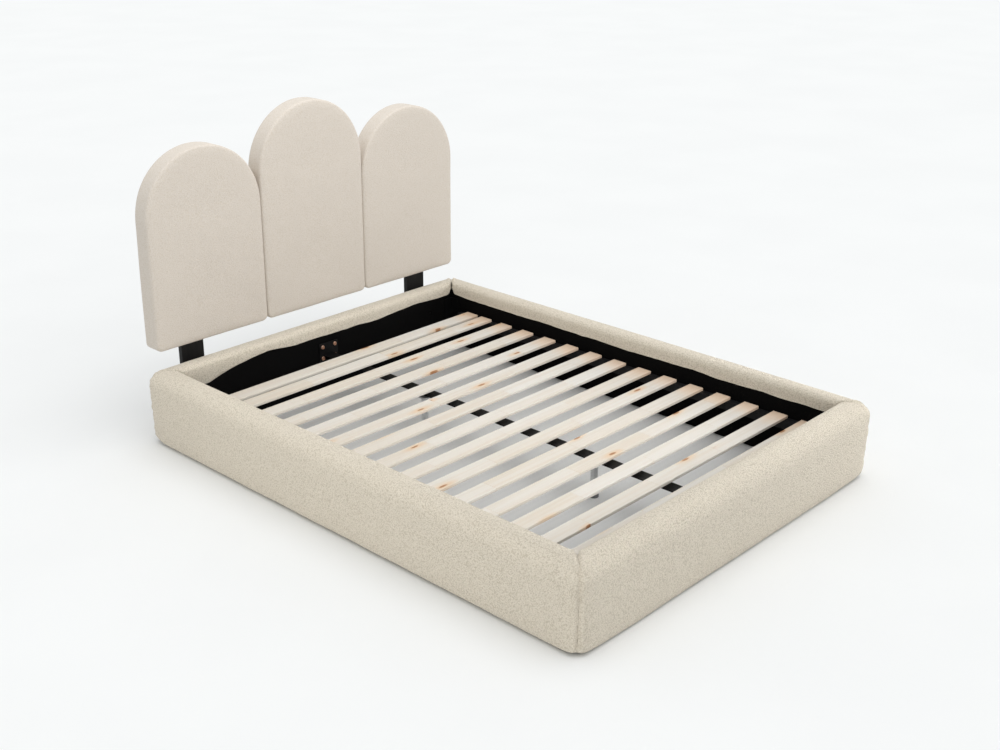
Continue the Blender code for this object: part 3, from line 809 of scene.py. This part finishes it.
def moulded_plastic():
    look = Look("grey_plastic")
    spark = look.noise(1400.0, 2.0)
    scuff = look.noise(60.0, 5.0, 0.6)
    colour = look.mix(look.ramp(scuff, 0.45, 0.7, 0.0, 0.5), (0.190, 0.190, 0.195), (0.300, 0.298, 0.290))
    normal = look.bump(spark, 0.0003, 0.5)
    return look.done(colour, look.ramp(scuff, 0.3, 0.7, 0.42, 0.60), normal)


def studio_floor():
    look = Look("studio_floor")
    cloudy = look.noise(1.3, 3.0)
    colour = look.mix(look.ramp(cloudy, 0.3, 0.7), (0.900, 0.910, 0.908), (0.915, 0.925, 0.922))
    return look.done(colour, look.ramp(cloudy, 0.3, 0.7, 0.80, 0.85), Specular_IOR_Level=0.0)


# ---- build --------------------------------------------------------------------------------------
RAIL_LIPS = {                   # along the rail, then how high the wrapped lip ends
    "head_rail_cover": ((-0.78, 0.206), (-0.656, 0.213), (-0.50, 0.252), (-0.334, 0.270), (-0.18, 0.252),
                        (-0.043, 0.256), (0.14, 0.250), (0.312, 0.248), (0.52, 0.262), (0.70, 0.254)),
    "foot_rail_cover": ((-0.7, 0.250), (0.0, 0.244), (0.7, 0.252)),
    "left_rail_cover": ((-1.0, 0.248), (0.0, 0.252), (1.0, 0.246)),
    "right_rail_cover": ((-1.0, 0.252), (0.0, 0.248), (1.0, 0.250)),
}
RAIL_LIFTS = {                  # how far the underside rises at the rail's first end, then at its last
    "head_rail_cover": (HEAD_LIFT, HEAD_LIFT),
    "foot_rail_cover": (FOOT_LIFT, FOOT_LIFT),
    "left_rail_cover": (FOOT_LIFT, HEAD_LIFT),
    "right_rail_cover": (HEAD_LIFT, FOOT_LIFT),
}


def make_padding():
    turns = {"head_rail_cover": 0, "foot_rail_cover": pi,
             "left_rail_cover": pi / 2, "right_rail_cover": -pi / 2}
    makers = []
    for seed, (name, turn) in enumerate(turns.items(), 1):
        across_bed = name.startswith(("head", "foot"))
        run, across = (HALF_W, HALF_L) if across_bed else (HALF_L, HALF_W)
        makers.append(Rail(name, run, across, turn, RAIL_LIPS[name], RAIL_LIFTS[name], seed))
    for name, seed in PANELS.items():
        makers.append(Pad(name, seed + 10))
    moves = [None] * len(makers)
    moves = simulate([maker.start() for maker in makers])
    # one fabric in two tints: the rails' copy is warmer, with darker painted shade in its pits, and the
    # headboard's copy is cooler and lighter, standing in for how light falls on each
    coarse, fine = boucle("boucle_rails", 0.0046, 1.0, 0.508), boucle("boucle_headboard", 0.0040, 0.35, 0.540)
    for maker, moved in zip(makers, moves):
        node = maker.name
        maker.name = node.replace("rail_cover", "rail_upholstery").replace("pad", "cushion")
        made = maker.finish(moved)
        made.data.materials.append(coarse if isinstance(maker, Rail) else fine)
        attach(made, "bed")
        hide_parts(node)


def paint(names, material):
    for name in names:
        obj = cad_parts[name]
        obj.data.materials.clear()
        obj.data.materials.append(material)


def ease_edges(names, width):
    """Small rounded edges on plain cut pieces."""
    for name in names:
        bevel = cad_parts[name].modifiers.new("eased_edges", "BEVEL")
        bevel.width = width
        bevel.segments = 2
        bevel.limit_method = "ANGLE"
        bevel.angle_limit = radians(40)


def cut_socket(name):
    """A hexagon socket in a bolt's head, which faces mid-bed on the two hangers and backward elsewhere."""
    low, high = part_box(name)
    face = low.y if name.startswith("hanger_bolt_head") else high.y
    bm = bmesh.new()
    bmesh.ops.create_cone(bm, cap_ends=True, segments=6, radius1=SOCKET_R, radius2=SOCKET_R,
                          depth=2 * SOCKET_DEEP)
    bmesh.ops.rotate(bm, verts=bm.verts, matrix=Matrix.Rotation(pi / 2, 3, "X"))
    bmesh.ops.translate(bm, verts=bm.verts, vec=((low.x + high.x) / 2, face, (low.z + high.z) / 2))
    mesh = bpy.data.meshes.new(name + "_socket")
    bm.to_mesh(mesh)
    bm.free()
    cutter = bpy.data.objects.new(name + "_socket", mesh)
    cutter.hide_render = True
    cutter.display_type = "WIRE"
    bpy.context.scene.collection.objects.link(cutter)
    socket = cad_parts[name].modifiers.new("socket", "BOOLEAN")
    socket.operation = "DIFFERENCE"
    socket.object = cutter


def is_slat(name):
    return name.startswith("slat_") and "ledge" not in name


def finish_cad_nodes():
    names = sorted(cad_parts)
    slats = [n for n in names if is_slat(n)]
    for seed, name in enumerate(slats, 1):
        paint([name], pine(seed))
    ledges = [n for n in names if "ledge" in n]
    legs = [n for n in names if "headboard_leg" in n]
    boards = [n for n in names if n.endswith("rail_board")]
    brackets = [n for n in names if n.endswith("bracket")]
    hangers = ["beam_hanger_head", "beam_hanger_foot"]
    paint(ledges + legs, painted_wood())
    paint(boards, lining("black_lining", 0.0024))
    paint(["headboard_dust_cover"], lining("dust_cloth", 0.0100))
    paint(["headboard_core_board"], plywood())
    paint(["centre_beam"] + hangers + brackets, powder_coat())
    black_bolts = [n for n in names if n.startswith(("rail_bolt", "core_bolt"))]
    paint(black_bolts, metal("blackened_steel", (0.05, 0.05, 0.052), (0.09, 0.09, 0.09), 0.35, 0.5))
    bronze = [n for n in names if n.startswith("hanger_bolt")]
    paint(bronze, metal("bronze", (0.52, 0.30, 0.20), (0.66, 0.42, 0.31), 0.28, 0.45))
    for name in black_bolts + bronze:
        cut_socket(name)
    posts = [n for n in names if n.startswith("support_post")]
    paint(posts, metal("zinc", (0.66, 0.67, 0.68), (0.78, 0.79, 0.80), 0.35, 0.55, 0.35))
    feet = [n for n in names if n.startswith("levelling_foot")]
    paint(feet, moulded_plastic())
    ease_edges(slats, 0.0006)
    ease_edges(legs + ledges, 0.0010)
    ease_edges(brackets, 0.0006)


# ---- camera, floor and light --------------------------------------------------------------------
CAMERA_PLACE = (-3.4890, -3.2181, 2.2926)
CAMERA_YAW, CAMERA_PITCH = radians(-46.07), radians(22.29)
CAMERA_LENS, CAMERA_SHIFT = 47.574, 0.03


def add_camera():
    data = bpy.data.cameras.new("camera")
    data.sensor_width = 36.0
    data.lens = CAMERA_LENS
    data.shift_x = CAMERA_SHIFT
    data.clip_end = 200.0
    camera = bpy.data.objects.new("camera", data)
    level = cos(CAMERA_PITCH)
    ahead = Vector((-sin(CAMERA_YAW) * level, cos(CAMERA_YAW) * level, -sin(CAMERA_PITCH)))
    camera.location = CAMERA_PLACE
    camera.rotation_mode = "QUATERNION"
    camera.rotation_quaternion = ahead.to_track_quat("-Z", "Y")
    bpy.context.scene.collection.objects.link(camera)
    bpy.context.scene.camera = camera


def add_floor():
    bm = bmesh.new()
    bmesh.ops.create_grid(bm, x_segments=8, y_segments=8, size=60.0)
    mesh = bpy.data.meshes.new("floor")
    bm.to_mesh(mesh)
    bm.free()
    floor = bpy.data.objects.new("floor", mesh)
    floor.data.materials.append(studio_floor())
    bpy.context.scene.collection.objects.link(floor)
    floor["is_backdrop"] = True


def add_light(name, place, aim, size, power, colour, spread, group="bed_only"):
    data = bpy.data.lights.new(name, "AREA")
    data.shape = "RECTANGLE"
    data.size, data.size_y = size
    data.energy = power
    data.color = colour
    data.spread = radians(spread)
    light = bpy.data.objects.new(name, data)
    light.location = place
    light.rotation_mode = "QUATERNION"
    light.rotation_quaternion = (Vector(aim) - Vector(place)).to_track_quat("-Z", "Y")
    light.light_linking.receiver_collection = bpy.data.collections[group]
    bpy.context.scene.collection.objects.link(light)


def add_sun(turn, height, strength, softness):
    data = bpy.data.lights.new("sun", "SUN")
    data.energy = strength
    data.angle = radians(softness)
    light = bpy.data.objects.new("sun", data)
    back = Vector((sin(radians(turn)) * cos(radians(height)), -cos(radians(turn)) * cos(radians(height)),
                   sin(radians(height))))
    light.rotation_mode = "QUATERNION"
    light.rotation_quaternion = (-back).to_track_quat("-Z", "Y")
    bpy.context.scene.collection.objects.link(light)


def add_world():
    world = bpy.data.worlds.new("studio")
    world.use_nodes = True
    background = world.node_tree.nodes["Background"]
    background.inputs["Color"].default_value = (0.985, 0.995, 1.0, 1.0)
    background.inputs["Strength"].default_value = 0.74
    bpy.context.scene.world = world


def add_studio():
    add_camera()
    add_floor()
    add_world()
    add_sun(turn=35, height=80, strength=0.98, softness=60)
    lit, slats, rails = (bpy.data.collections.new(f"{group}_only") for group in ("bed", "slats", "rails"))
    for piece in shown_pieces():
        lit.objects.link(piece)
        if is_slat(piece.name):
            slats.objects.link(piece)
        if piece.name.endswith("rail_upholstery"):
            rails.objects.link(piece)
    add_light("over_bed", place=(-0.2, -0.7, 3.3), aim=(0.1, 1.06, 0.75), size=(2.4, 1.6), power=13.0,
              colour=(0.98, 0.99, 1.0), spread=100)
    add_light("right", place=(3.3, -2.2, 1.3), aim=(0.7, -1.15, 0.2), size=(1.2, 1.0), power=9.5,
              colour=(1.0, 0.99, 0.97), spread=90)
    add_light("slat_edges", place=(-0.6, -3.6, 1.5), aim=(0, 0, 0.18), size=(2.0, 0.8), power=13.0,
              colour=(1.0, 0.99, 0.97), spread=80, group="slats_only")
    add_light("left", place=(-4.4, -1.4, 1.0), aim=(-0.9, 0, 0.15), size=(3.0, 1.0), power=6.5,
              colour=(1.0, 0.98, 0.93), spread=50, group="rails_only")
    bpy.context.scene.view_settings.view_transform = "Standard"
    bpy.context.scene.view_settings.look = "None"


make_padding()
finish_cad_nodes()
add_studio()
